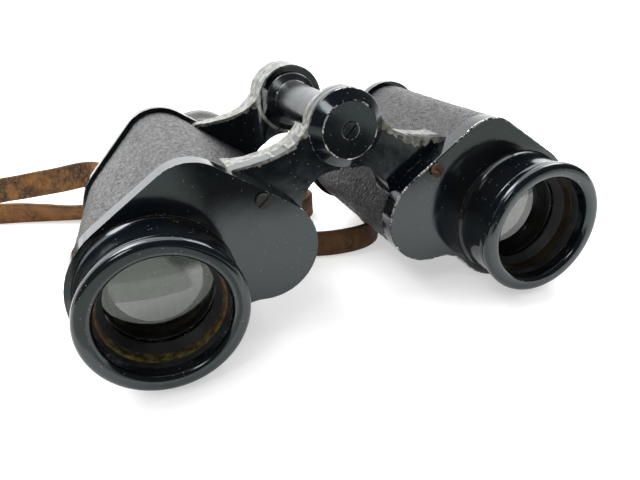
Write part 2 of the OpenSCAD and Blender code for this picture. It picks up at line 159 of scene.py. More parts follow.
class Shader:
    """A material's node tree, with short calls for the nodes used here. Coordinates are in metres."""

    def __init__(self, name):
        self.material = bpy.data.materials.new(name)
        self.material.use_nodes = True
        self.tree = self.material.node_tree
        self.tree.nodes.clear()
        self.output = self.tree.nodes.new("ShaderNodeOutputMaterial")
        self.where = self.add("TexCoord").outputs["Object"]

    def add(self, kind, inputs=None, **settings):
        node = self.tree.nodes.new("ShaderNode" + kind)
        for key, value in settings.items():
            setattr(node, key, value)
        for key, value in (inputs or {}).items():
            if isinstance(value, bpy.types.NodeSocket):
                self.tree.links.new(value, node.inputs[key])
            else:
                node.inputs[key].default_value = value
        return node

    def noise(self, scale, detail=3.0, rough=0.55, where=None, distortion=0.0):
        inputs = {
            "Vector": where or self.where,
            "Scale": scale,
            "Detail": detail,
            "Roughness": rough,
            "Distortion": distortion,
        }
        return self.add("TexNoise", inputs).outputs["Fac"]

    def cells(self, scale, output="Distance", feature="F1", where=None):
        inputs = {"Vector": where or self.where, "Scale": scale}
        return self.add("TexVoronoi", inputs, feature=feature).outputs[output]

    def mapped(self, scale, turn=(0, 0, 0)):
        inputs = {"Vector": self.where, "Scale": scale, "Rotation": turn}
        return self.add("Mapping", inputs).outputs["Vector"]

    def axes(self):
        """The coordinates' X, Y and Z."""
        return self.add("SeparateXYZ", {"Vector": self.where}).outputs

    def distance(self, points, centre):
        inputs = {0: points, 1: centre}
        return self.add("VectorMath", inputs, operation="DISTANCE").outputs["Value"]

    def math(self, operation, a, b=0.5, clamp=False):
        node = self.add("Math", {0: a, 1: b}, operation=operation)
        node.use_clamp = clamp
        return node.outputs[0]

    def plus(self, a, b):
        return self.math("ADD", a, b)

    def times(self, a, b):
        return self.math("MULTIPLY", a, b)

    def span(self, value, low, high, to_low=0.0, to_high=1.0):
        """value eased so that low..high becomes to_low..to_high, held at both ends."""
        inputs = {"Value": value, "From Min": low, "From Max": high, "To Min": to_low, "To Max": to_high}
        return self.add("MapRange", inputs, interpolation_type="SMOOTHSTEP").outputs["Result"]

    def mix(self, share, a, b):
        """Colour a where share is 0, and b where it is 1."""
        a, b = ((*c, 1.0) if isinstance(c, tuple) else c for c in (a, b))
        return self.add("Mix", {0: share, 6: a, 7: b}, data_type="RGBA").outputs[2]

    def fade(self, share, a, b):
        """Number a where share is 0, and b where it is 1."""
        return self.add("Mix", {0: share, 2: a, 3: b}, data_type="FLOAT").outputs[0]

    def bump(self, height, distance):
        inputs = {"Height": height, "Distance": distance, "Strength": 1.0}
        return self.add("Bump", inputs).outputs["Normal"]

    def most(self, *values):
        out = values[0]
        for value in values[1:]:
            out = self.math("MAXIMUM", out, value)
        return out

    def surface(self, **inputs):
        """Ends the tree in a Principled shader. Keywords are its sockets, with _ for a space."""
        names = {k.replace("_", " "): v for k, v in inputs.items() if v is not None}
        for key, value in names.items():
            if isinstance(value, tuple) and len(value) == 3:
                names[key] = (*value, 1.0)
        shader = self.add("BsdfPrincipled", names)
        self.tree.links.new(shader.outputs[0], self.output.inputs["Surface"])
        return self.material


def shaded(colour, factor):
    return tuple(c * factor for c in colour)


def dust(s, scale, share, size):
    """Small round specks: a share of the cells of a fine pattern, each with a speck of the given size."""
    pick = s.add("SeparateColor", {"Color": s.cells(scale, "Color")}).outputs["Red"]
    chosen = s.math("GREATER_THAN", pick, 1.0 - share)
    return s.times(chosen, s.span(s.cells(scale), size * 0.6, size, 1.0, 0.0))


def hairlines(s, turn, scale, share):
    """Fine scratches, all in about one direction."""
    lines = s.noise(1.0, 2.0, 0.5, s.mapped((scale, scale * 0.03, scale * 0.03), turn))
    return s.span(lines, 1.0 - share, 1.0 - share + 0.03)


LACQUER = (0.0022, 0.0036, 0.0054)
LACQUER_WARM = (0.0050, 0.0056, 0.0060)
BLUISH = (0.88, 0.98, 1.0)
BARE = (0.60, 0.585, 0.55)
DUST = (0.30, 0.27, 0.22)
SCRATCH = (0.16, 0.16, 0.155)
CRACK = (0.02, 0.009, 0.004)
# Painted shade on the strap behind the barrels: its colour, the x it centres on, and how far from there it
# reaches
PAINTED_SHADE = (0.034, 0.013, 0.002)
SHADE_CENTRE_X, SHADE_REACH = 0.012, (0.035, 0.065)
# A hinge arm's top edge, in the hinge's own millimetres: from ARM_START it drops by ARM_DROP in a curve that
# falls by a factor e every ARM_FALL, and it ends near ARM_LOW
ARM_START, ARM_DROP, ARM_FALL, ARM_LOW = 10.6, 11.0, 6.0, -7.6


def lacquer(name, rough=0.09, dusty=0.03, peel=1.0):
    """Hard black lacquer over metal. dusty is the share of specks on it, and peel its unevenness."""
    s = Shader(name)
    patches = s.noise(42.0, 4.0)
    grime = s.noise(160.0, 5.0, 0.6)
    scratches = s.most(
        hairlines(s, (0.3, 0.2, 0.9), 900.0, 0.27),
        hairlines(s, (1.1, 0.5, 2.3), 700.0, 0.25),
    )
    specks = s.most(dust(s, 1500.0, dusty, 0.2), dust(s, 760.0, dusty * 0.3, 0.13))
    colour = s.mix(s.span(patches, 0.4, 0.7), LACQUER, LACQUER_WARM)
    colour = s.mix(s.times(scratches, 0.12), colour, SCRATCH)
    colour = s.mix(s.times(specks, 0.8), colour, DUST)
    roughness = s.span(grime, 0.4, 0.8, rough, rough + 0.08)
    roughness = s.plus(roughness, s.times(scratches, 0.12))
    roughness = s.math("ADD", roughness, s.times(specks, 0.5), clamp=True)
    height = s.plus(s.times(s.noise(110.0, 2.0), 0.8), s.times(s.noise(950.0, 2.0), 0.06))
    return s.surface(
        Base_Color=colour,
        Roughness=roughness,
        Normal=s.bump(height, 0.00007 * peel),
        Specular_IOR_Level=0.6,
        Specular_Tint=BLUISH,
    )


def arm_lacquer(name, reach, torn, patches, rear_edge, knuckle=None):
    """Lacquer of a hinge arm, gone along its top edge.

    reach is how far down its faces that goes, and torn the share of the edge with deeper tears. patches are
    (x, z, radius) tears in the hinge's own millimetres. The top is bare behind the station rear_edge, and
    knuckle is the radius of a bare ring.
    """
    s = Shader(name)
    x, y, z = s.axes()
    # The arm's top edge falls away from the knuckle towards the barrel
    fall = s.times(s.math("SUBTRACT", s.math("ABSOLUTE", x), ARM_START * MM), -1 / (ARM_FALL * MM))
    top = s.times(s.math("POWER", math.e, fall), ARM_DROP * MM)
    depth = s.math("SUBTRACT", s.plus(top, (HINGE_Z + ARM_LOW) * MM), z)
    facing = s.add("SeparateXYZ", {"Vector": s.add("TexCoord").outputs["Normal"]})
    upward = s.span(facing.outputs["Z"], 0.35, 0.55)
    fine = s.noise(1300.0, 6.0, 0.68, distortion=0.5)
    tears = s.noise(230.0, 4.0, 0.6, distortion=0.8)
    rough_edge = s.times(s.math("SUBTRACT", fine, 0.5), 1.6 * MM)
    limit = s.span(tears, 0.64 - torn, 0.70 - torn, 0.45 * MM, reach * MM)
    past = s.plus(s.math("SUBTRACT", depth, limit), rough_edge)
    on_face = s.span(past, -0.1 * MM, 0.1 * MM, 1.0, 0.0)
    edge = (rear_edge - HINGE_Y) * MM
    on_top = s.span(s.plus(y, s.times(rough_edge, 0.7)), edge, edge + 0.15 * MM)
    parts = [s.fade(upward, on_face, on_top)]
    section = s.add("CombineXYZ", {"X": x, "Z": z}).outputs[0]
    for px, pz, radius in patches:
        far = s.distance(section, (px * MM, 0.0, (pz + HINGE_Z) * MM))
        far = s.plus(far, s.times(rough_edge, 1.3))
        parts.append(s.span(far, (radius - 0.1) * MM, (radius + 0.1) * MM, 1.0, 0.0))
    if knuckle:
        far = s.distance(section, (0.0, 0.0, HINGE_Z * MM))
        far = s.plus(far, s.times(rough_edge, 0.3))
        ring = s.times(
            s.span(far, (knuckle - 0.6) * MM, (knuckle - 0.4) * MM),
            s.span(far, (knuckle + 0.5) * MM, (knuckle + 0.9) * MM, 1.0, 0.0),
        )
        parts.append(s.times(ring, s.span(tears, 0.40, 0.44)))
    chips = s.times(s.span(fine, 0.735, 0.755), s.span(tears, 0.52, 0.62))
    gone = s.most(*parts)
    patchy = s.noise(500.0, 5.0, 0.65)
    silver = s.mix(s.span(patchy, 0.42, 0.62), (0.20, 0.198, 0.18), (0.075, 0.073, 0.060))
    silver = s.mix(s.span(s.noise(330.0, 3.0), 0.54, 0.66), silver, (0.095, 0.072, 0.042))
    grime = s.noise(160.0, 5.0, 0.6)
    colour = s.mix(chips, LACQUER, (0.34, 0.35, 0.35))
    colour = s.mix(s.times(dust(s, 1500.0, 0.08, 0.2), 0.8), colour, DUST)
    colour = s.mix(gone, colour, silver)
    roughness = s.fade(gone, s.span(grime, 0.35, 0.75, 0.11, 0.22), s.span(patchy, 0.3, 0.7, 0.32, 0.5))
    height = s.plus(s.noise(130.0, 2.0), s.times(gone, -2.4))
    height = s.plus(height, s.times(s.times(gone, patchy), 1.8))
    return s.surface(
        Base_Color=colour,
        Roughness=roughness,
        Metallic=s.times(gone, 0.2),
        Normal=s.bump(height, 0.00012),
        Specular_IOR_Level=0.55,
        Specular_Tint=BLUISH,
    )


def worn_edge(name, amount):
    """Lacquer rubbed through to metal along an edge, in long and short pieces."""
    s = Shader(name)
    runs = s.noise(56.0, 3.0, 0.5)
    flakes = s.noise(640.0, 6.0, 0.65, distortion=0.3)
    loss = s.plus(s.times(flakes, 0.55), s.times(runs, 0.45))
    gone = s.span(loss, 0.60 - 0.2 * amount, 0.63 - 0.2 * amount)
    tarnish = s.span(s.noise(700.0, 4.0), 0.35, 0.7)
    colour = s.mix(gone, LACQUER, s.mix(tarnish, BARE, shaded(BARE, 0.55)))
    roughness = s.fade(gone, 0.13, s.span(tarnish, 0.0, 1.0, 0.26, 0.48))
    normal = s.bump(s.times(gone, -1.0), 0.00008)
    return s.surface(Base_Color=colour, Roughness=roughness, Metallic=s.times(gone, 0.9), Normal=normal)


def leatherette(name):
    """Black grained covering, rubbed smoother and greyer on its high spots."""
    s = Shader(name)
    grain = s.cells(1500.0, "Distance", "SMOOTH_F1")
    pores = s.noise(2600.0, 3.0, 0.6)
    broad = s.noise(70.0, 4.0, 0.6)
    creases = s.noise(1.0, 4.0, 0.6, s.mapped((900.0, 420.0, 900.0)))
    colour = s.mix(s.span(creases, 0.38, 0.62), (0.0045, 0.0045, 0.005), (0.015, 0.015, 0.016))
    colour = s.mix(s.times(s.span(broad, 0.45, 0.75), 0.5), colour, (0.016, 0.0155, 0.015))
    colour = s.mix(s.times(dust(s, 1500.0, 0.03, 0.2), 0.7), colour, DUST)
    height = s.plus(s.times(grain, -0.6), s.times(creases, 1.0))
    height = s.plus(height, s.times(pores, 0.25))
    normal = s.bump(height, 0.00045)
    roughness = s.span(creases, 0.35, 0.65, 0.46, 0.27)
    return s.surface(Base_Color=colour, Roughness=roughness, Normal=normal, Specular_IOR_Level=0.42)


def metal(name, colour, rough=0.34, tarnish=(0.12, 0.10, 0.08), share=0.4):
    """Bare metal, a share of it tarnished in patches."""
    s = Shader(name)
    patches = s.noise(320.0, 6.0, 0.62)
    fine = s.noise(1600.0, 3.0, 0.6)
    covered = s.span(s.plus(s.times(patches, 0.8), s.times(fine, 0.2)), 0.75 - share, 0.9 - share)
    return s.surface(
        Base_Color=s.mix(covered, colour, tarnish),
        Roughness=s.span(covered, 0.0, 1.0, rough, rough + 0.3),
        Metallic=s.span(covered, 0.0, 1.0, 1.0, 0.45),
        Normal=s.bump(s.plus(s.times(patches, 0.5), fine), 0.00004),
    )


def matt_black(name):
    """Blackened inside of a tube."""
    s = Shader(name)
    patches = s.noise(220.0, 4.0, 0.6)
    base = (0.010, 0.010, 0.011)
    mixed = s.mix(s.span(patches, 0.4, 0.75), base, shaded(base, 2.6))
    mixed = s.mix(s.times(dust(s, 1500.0, 0.05, 0.2), 0.6), mixed, DUST)
    roughness = s.span(patches, 0.3, 0.7, 0.50, 0.72)
    normal = s.bump(s.noise(800.0, 3.0), 0.00008)
    return s.surface(Base_Color=mixed, Roughness=roughness, Normal=normal)


def bakelite(name):
    s = Shader(name)
    clouds = s.noise(90.0, 5.0, 0.6)
    colour = s.mix(s.span(clouds, 0.4, 0.7), (0.0085, 0.008, 0.0075), (0.022, 0.018, 0.014))
    specks = dust(s, 1500.0, 0.04, 0.2)
    colour = s.mix(s.times(specks, 0.7), colour, DUST)
    roughness = s.span(s.noise(240.0, 5.0, 0.6), 0.3, 0.75, 0.22, 0.42)
    normal = s.bump(s.noise(420.0, 4.0), 0.00005)
    return s.surface(Base_Color=colour, Roughness=roughness, Normal=normal)


def glass(name, tint, rough=0.0, ior=1.53):
    """Old lens glass with a faint tint, and thin smears and dust that scatter a little light."""
    s = Shader(name)
    smears = s.noise(90.0, 5.0, 0.65, distortion=0.8)
    specks = dust(s, 1500.0, 0.02, 0.18)
    return s.surface(
        Base_Color=s.mix(s.times(specks, 0.8), tint, (0.5, 0.5, 0.48)),
        Roughness=s.plus(s.span(smears, 0.7, 0.95, rough, rough + 0.004), s.times(specks, 0.4)),
        IOR=ior,
        Transmission_Weight=s.math("SUBTRACT", 1.0, s.times(specks, 0.7)),
    )


def strap_leather(name, light, dark, grain=1.0, gloss=0.42):
    """Old strap leather: mottled, with darkened handling marks, fine cracks across it and pores, and painted
    shade along the stretch behind the barrels.
    """
    s = Shader(name)
    broad = s.noise(55.0, 5.0, 0.62, distortion=0.4)
    blotches = s.noise(210.0, 5.0, 0.62)
    pores = s.noise(1500.0, 3.0, 0.6)
    cracks = s.cells(420.0, "Distance", "DISTANCE_TO_EDGE", s.mapped((1.0, 1.0, 0.55)))
    share = s.plus(s.times(broad, 0.55), s.times(blotches, 0.45))
    colour = s.mix(s.span(share, 0.42, 0.60), light, dark)
    rubbed = s.span(s.noise(900.0, 4.0, 0.7), 0.52, 0.66)
    colour = s.mix(s.times(rubbed, 0.55), colour, shaded(light, 1.7))
    lines = s.times(s.span(cracks, 0.0, 0.07, 1.0, 0.0), s.span(broad, 0.42, 0.6))
    colour = s.mix(s.times(lines, 0.3), colour, CRACK)
    colour = s.mix(s.times(s.span(pores, 0.58, 0.72), 0.5), colour, CRACK)
    # Painted shade: darker along the stretch that lies in the shadow behind and under the barrels
    along = s.math("ABSOLUTE", s.math("SUBTRACT", s.axes()["X"], SHADE_CENTRE_X))
    colour = s.mix(s.span(along, *SHADE_REACH, 0.62, 0.0), colour, PAINTED_SHADE)
    height = s.math("SUBTRACT", s.times(blotches, 0.8), s.times(lines, 0.9))
    height = s.plus(height, s.times(pores, 0.35))
    normal = s.bump(height, 0.00025 * grain)
    roughness = s.span(blotches, 0.3, 0.7, gloss, gloss + 0.22)
    return s.surface(Base_Color=colour, Roughness=roughness, Normal=normal, Specular_IOR_Level=0.22)


def thread(name):
    s = Shader(name)
    inputs = {"Vector": s.where, "Scale": 900.0, "Distortion": 1.0}
    twist = s.add("TexWave", inputs, bands_direction="DIAGONAL").outputs["Fac"]
    colour = s.mix(twist, (0.30, 0.22, 0.13), (0.13, 0.09, 0.05))
    return s.surface(Base_Color=colour, Roughness=0.75, Normal=s.bump(twist, 0.0001))


def crust(name):
    """Brown dirt and corrosion that gathers in a seam, broken into crumbs."""
    s = Shader(name)
    crumbs = s.noise(900.0, 5.0, 0.7)
    colour = s.mix(s.span(crumbs, 0.45, 0.65), (0.006, 0.005, 0.005), (0.060, 0.027, 0.012))
    colour = s.mix(s.span(s.noise(1400.0, 3.0), 0.62, 0.68), colour, (0.28, 0.18, 0.10))
    return s.surface(Base_Color=colour, Roughness=0.8, Normal=s.bump(crumbs, 0.0002))


def grimy_brass(name, light=1.0):
    """Brass that has gone olive brown, with brighter rubs and a rustier side."""
    s = Shader(name)
    spots = s.noise(520.0, 6.0, 0.7)
    broad = s.noise(60.0, 3.0, 0.6)
    colour = s.mix(s.span(spots, 0.40, 0.64), (0.026, 0.020, 0.008), shaded((0.19, 0.145, 0.045), light))
    rusty = s.times(s.span(broad, 0.45, 0.6), 0.8)
    colour = s.mix(rusty, colour, shaded((0.11, 0.045, 0.016), light))
    roughness = s.span(spots, 0.3, 0.7, 0.7, 0.45)
    return s.surface(Base_Color=colour, Roughness=roughness, Metallic=0.35, Normal=s.bump(spots, 0.00015))


# ---------------------------------------------------------------- materials

STRAP_GRAIN = ((0.165, 0.066, 0.014), (0.085, 0.033, 0.009))
STRAP_FLESH = ((0.190, 0.086, 0.024), (0.060, 0.036, 0.022))
STRAP_CUT = ((0.150, 0.066, 0.018), (0.07, 0.032, 0.012))

black = lacquer("black_lacquer")
black_dusty = lacquer("black_lacquer_dusty", dusty=0.10, rough=0.10)
black_cover = lacquer("black_lacquer_cover", rough=0.10, dusty=0.07, peel=0.8)
black_rubbed = lacquer("black_lacquer_rubbed", rough=0.24, dusty=0.04)
# Tears in the arms' lacquer as (x, z, radius), in the hinge's own millimetres
LEFT_FRONT_TEARS = [(-12.6, 1.2, 2.7), (-16.4, -2.9, 1.5), (-18.0, -2.9, 0.9), (-22.3, -4.9, 0.8)]
RIGHT_FRONT_TEARS = [
    (12.6, -0.6, 1.7), (14.6, -2.8, 1.2), (20.4, -6.2, 1.5), (23.6, -7.4, 1.7), (27.0, -7.8, 1.3),
]
LEFT_REAR_TEARS = [(-13.6, -0.9, 1.7), (-16.2, -2.9, 1.2), (-12.0, 2.0, 1.4)]
KNUCKLE_RING = 11.8
arm_finish = {
    "left_front_arm": arm_lacquer("left_front_arm_lacquer", 0.9, 0.10, LEFT_FRONT_TEARS, 25.8),
    "right_front_arm": arm_lacquer("right_front_arm_lacquer", 1.6, 0.16, RIGHT_FRONT_TEARS, 24.9),
    "left_rear_arm": arm_lacquer("left_rear_arm_lacquer", 0.8, 0.10, LEFT_REAR_TEARS, 74.0, KNUCKLE_RING),
    "right_rear_arm": arm_lacquer("right_rear_arm_lacquer", 0.8, 0.08, [], 76.0, KNUCKLE_RING),
}
black_edge = worn_edge("black_edge", 0.05)
cover_edge = worn_edge("cover_edge", 0.42)
cap_edge = worn_edge("cap_edge", 0.60)
rim_edge = worn_edge("rim_edge", 0.75)
skin = leatherette("leatherette")
interior = matt_black("matt_black")
plastic = bakelite("black_bakelite")
brass = grimy_brass("aged_brass")
# The right side's rings take the same brass at an eighth of its brightness
darker_brass = grimy_brass("darker_brass", 0.12)
clip_brass = metal("clip_brass", (0.55, 0.42, 0.20))
dark_steel = metal("dark_steel", (0.20, 0.19, 0.18), 0.36, (0.03, 0.026, 0.022), 0.5)
copper_steel = metal("copper_steel", (0.42, 0.22, 0.12), 0.4, (0.05, 0.028, 0.018), 0.42)
bright_steel = metal("bright_steel", (0.56, 0.55, 0.53), 0.3, share=0.25)
front_glass = glass("lens_glass", (0.93, 0.97, 0.95), ior=1.72)
eye_glass = glass("eye_lens_glass", (0.93, 0.97, 0.95))
cement = glass("lens_cement", (0.97, 0.98, 0.95), ior=1.0)
prism_glass = glass("prism_glass", (0.86, 0.92, 0.90), 0.02)
leather_grain = strap_leather("strap_grain_side", *STRAP_GRAIN)
leather_flesh = strap_leather("strap_flesh_side", *STRAP_FLESH, grain=1.6, gloss=0.6)
leather_cut = strap_leather("strap_cut_edge", *STRAP_CUT, grain=1.3, gloss=0.55)
strap_faces = [leather_grain, leather_flesh, leather_cut]
linen = thread("linen_thread")
seam_crust = crust("seam_crust")


# ---------------------------------------------------------------- CAD nodes


def dress(node, material, edge=None, width=0.4, angle=28.0, segments=2):
    """Gives a CAD node its finish. Its sharp edges are rounded by width and may have their own material."""
    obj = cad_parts[node]
    obj.data.materials.clear()
    obj.data.materials.append(material)
    if edge:
        obj.data.materials.append(edge)
    obj.data.polygons.foreach_set("material_index", [0] * len(obj.data.polygons))
    obj.data.polygons.foreach_set("use_smooth", [True] * len(obj.data.polygons))
    weld = obj.modifiers.new("weld", "WELD")
    weld.merge_threshold = 0.000002
    if width:
        planar = obj.modifiers.new("planar", "DECIMATE")
        planar.decimate_type = "DISSOLVE"
        planar.angle_limit = math.radians(0.4)
        bevel = obj.modifiers.new("bevel", "BEVEL")
        bevel.limit_method = "ANGLE"
        bevel.angle_limit = math.radians(angle)
        bevel.width = width * MM
        bevel.segments = segments
        bevel.harden_normals = False
        bevel.use_clamp_overlap = True
        bevel.material = 1 if edge else 0
    normals = obj.modifiers.new("normals", "WEIGHTED_NORMAL")
    normals.keep_sharp = True
    normals.weight = 50
    return obj


for side in SIDES:
    ring_brass, screw_steel = (brass, dark_steel) if side == "left" else (darker_brass, copper_steel)
    dress(side + "_housing", interior, width=0)
    dress(side + "_front_cover", black_cover, cover_edge, 0.55, segments=3)
    dress(side + "_rear_cover", black, rim_edge, 0.5, segments=3)
    dress(side + "_objective_ring", ring_brass, width=0.1)
    dress(side + "_objective_cell", interior, width=0.1)
    dress(side + "_rear_prism", prism_glass, width=0.3)
    dress(side + "_front_prism", prism_glass, width=0.3)
    dress(side + "_prism_clips", clip_brass, width=0.1)
    dress(side + "_cover_screws", screw_steel, width=0.12)
    dress(side + "_eyepiece_guide", black, rim_edge, 0.25)
    dress(side + "_ocular_tube", dark_steel, width=0.1)
    dress(side + "_field_lens", eye_glass, width=0)
    dress(side + "_eye_lens", eye_glass, width=0)
    dress(side + "_ocular_retainer", brass, width=0.15)
    dress(side + "_eyecup", plastic, width=0.25)
    dress(side + "_strap_lug", dark_steel, width=0.35, segments=3)
for node, finish in arm_finish.items():
    dress(node, finish, width=0.25)
dress("hinge_axle", bright_steel, width=0.2)
dress("hinge_tube", black_rubbed, black_edge, 0.4)
dress("hinge_cap", black_cover, cap_edge, 0.3, segments=3)
dress("hinge_cap_screw", black_cover, cap_edge, 0.12)
dress("hinge_rear_cap", black_cover, cap_edge, 0.3, segments=3)
dress("hinge_rear_screw", dark_steel, width=0.12)


# ---------------------------------------------------------------- neck strap

STRAP_WIDTH = 10.4
STRAP_THICK = 2.0
# Middle line of the strap, in millimetres in the CAD frame, each with its lean in degrees
STRAP_ROUTE = [
    (-71.3, 53.95, 28.7, 22), (-71.3, 56.2, 28.7, 21), (-72.4, 59.8, 28.7, 19), (-76, 62.8, 28.4, 16),
    (-80.5, 64.4, 27.8, 13), (-87, 66.5, 26.6, 11), (-95.5, 70, 25.2, 8), (-104, 73, 23.9, 5),
    (-112.5, 76, 22.8, 3), (-125, 79, 20.6, 0), (-137, 80.5, 17.4, 0), (-149, 80, 13.2, 0),
    (-159, 76.5, 9.6, 0), (-166, 70, 6.9, 0), (-171.5, 60, 5.5, 0), (-177, 48, 5.2, 0),
    (-187, 38, 5.2, 0), (-201, 32, 5.2, 0), (-218, 30.5, 5.2, 0), (-236, 31, 5.2, 0), (-254, 33, 5.2, 0),
    (-266, 41, 5.2, 0), (-273, 54, 5.2, 0), (-274, 71, 5.2, 0), (-268, 87, 5.2, 0), (-255, 99, 5.2, 0),
    (-238, 107, 5.2, 0), (-219, 111, 5.2, 0), (-199, 112, 5.2, 0), (-179, 111, 5.2, 0),
    (-160, 109, 5.2, 0), (-141, 105, 5.2, 0), (-125, 100, 5.2, 0), (-110, 95, 5.1, 8),
    (-98, 90, 4.8, 20), (-86, 85, 4.4, 32), (-72, 80, 4.6, 26), (-56, 75, 5, 12), (-38, 70, 5.2, 0),
    (-20, 65, 5.2, 0), (-4, 61, 5.2, 0), (8, 57, 5.2, 0), (15, 51, 5.2, 0), (16, 44, 5.2, 0),
    (11, 38, 5.2, 0), (2, 33, 5.2, 0), (-7, 28, 5.2, 0), (-11, 20, 5.2, 0), (-9, 11, 5.2, 0),
    (-1, 4.5, 5.2, 0), (10, 0.8, 5.2, 0), (22, 1, 5.2, 0), (30, 6, 5.2, 0), (33, 15, 5.2, 0),
    (34, 27, 5.2, 0), (37, 38, 5.2, 0), (45, 47, 5.2, 0), (56, 55, 5.2, 0), (67, 63, 5.2, 0),
    (77, 71, 5.3, 0), (86, 78.5, 5.8, 0), (94, 85.5, 7.4, 0), (100.5, 90.5, 10.4, 0),
    (104, 91.5, 14.6, -2), (102.5, 88.5, 19.2, -5), (97, 83.5, 23.4, -9), (90, 78.3, 25.8, -12),
    (82.5, 72.5, 27.6, -16), (76, 66.5, 28.4, -19), (72.3, 61, 28.7, -21), (71.3, 56.2, 28.7, -22),
    (71.3, 53.95, 28.7, -22),
]


def strip_section(width, thick, edge):
    """Corners of a flat strip's rounded section as (across, along the width, edge share)."""
    half, flat = thick / 2, width / 2 - edge
    corner = [math.radians(a) for a in (90, 60, 30, 0, -30, -60, -90)]
    steps = (0.66, 0.33, 0.0, -0.33, -0.66)
    right = [(half * math.sin(a), flat + edge * math.cos(a), 1) for a in corner]
    down = [(-half, flat * s, 0) for s in steps]
    left = [(half * math.sin(a), -flat - edge * math.cos(a), 1) for a in reversed(corner)]
    up = [(half, flat * s, 0) for s in reversed(steps)]
    return right + down + left + up


def strip_object(name, verts, section, facing):
    """A strip from its sections' points. The grain side is towards facing, which is 1 or -1."""
    faces, indices = [], []
    count = len(section)
    rows = len(verts) // count
    for i in range(rows - 1):
        for j in range(count):
            k = (j + 1) % count
            faces.append((i * count + j, (i + 1) * count + j, (i + 1) * count + k, i * count + k))
            on_edge = section[j][2] and section[k][2]
            outer = (section[j][0] + section[k][0]) * facing > 0
            indices.append(2 if on_edge else (0 if outer else 1))
    for start in (0, (rows - 1) * count):
        faces.append(tuple(start + j for j in range(count)))
        indices.append(2)
    return outward(new_object(name, verts, faces, strap_faces, indices))


STRAP_STEP = 1.6
STRAP_EDGE = 0.9
UNEVEN = 0.16
SEED = 3.0

line = natural_curve([tuple(map(float, p)) for p in STRAP_ROUTE], STRAP_STEP)
centre_line = [Vector(p[:3]) for p in line]
section = strip_section(STRAP_WIDTH, STRAP_THICK, STRAP_EDGE)
verts = []
for i, point in enumerate(centre_line):
    ahead = (centre_line[min(i + 1, len(line) - 1)] - centre_line[max(i - 1, 0)]).normalized()
    side_way = Vector((ahead.y, -ahead.x, 0)).normalized()
    high_way = side_way.cross(ahead)
    lean = math.radians(line[i][3])
    across = side_way * math.cos(lean) - high_way * math.sin(lean)
    high = high_way * math.cos(lean) + side_way * math.sin(lean)
    for a, w, edge in section:
        ripple = noise.noise(Vector((i * 0.09, w * 0.2, SEED))) * UNEVEN
        swell = noise.noise(Vector((i * 0.035, 7.0, SEED))) * UNEVEN * (1 if w > 0 else -1) * edge
        verts.append((point + across * (a + ripple * (1 - edge)) + high * (w + swell)) * MM)
strap = strip_object("neck_strap", verts, section, 1)
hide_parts("strap_band")

# The lug's bar: how far out from the middle of the rear lobe it is, and its station
LUG_BAR = (16.5, 94.6)
LUG_ANGLE = math.radians(22)
TURN = math.radians(90)
REAR_LOBE = (56.0, -36.9)


def at_lug(u, v, w, side):
    """A point at a strap end: u along the doubled tail, v across its layers, w along its width."""
    out = LUG_BAR[0] + u * math.cos(TURN) - v * math.sin(TURN)
    back = LUG_BAR[1] + u * math.sin(TURN) + v * math.cos(TURN)
    x = REAR_LOBE[0] + out * math.cos(LUG_ANGLE) - w * math.sin(LUG_ANGLE)
    z = REAR_LOBE[1] + out * math.sin(LUG_ANGLE) + w * math.cos(LUG_ANGLE)
    return place(x, back, z, side)


def squared(value):
    """A sine or cosine changed so that it runs round a rounded rectangle."""
    return math.copysign(abs(value) ** 0.42, value)


KEEPER_U, KEEPER_WIDTH = 7.9, 4.6
STITCH_U, STITCH_GAP, STITCH_LENGTH, STITCH_R = 11.6, 1.8, 1.25, 0.28
AROUND, RINGS = 8, 7

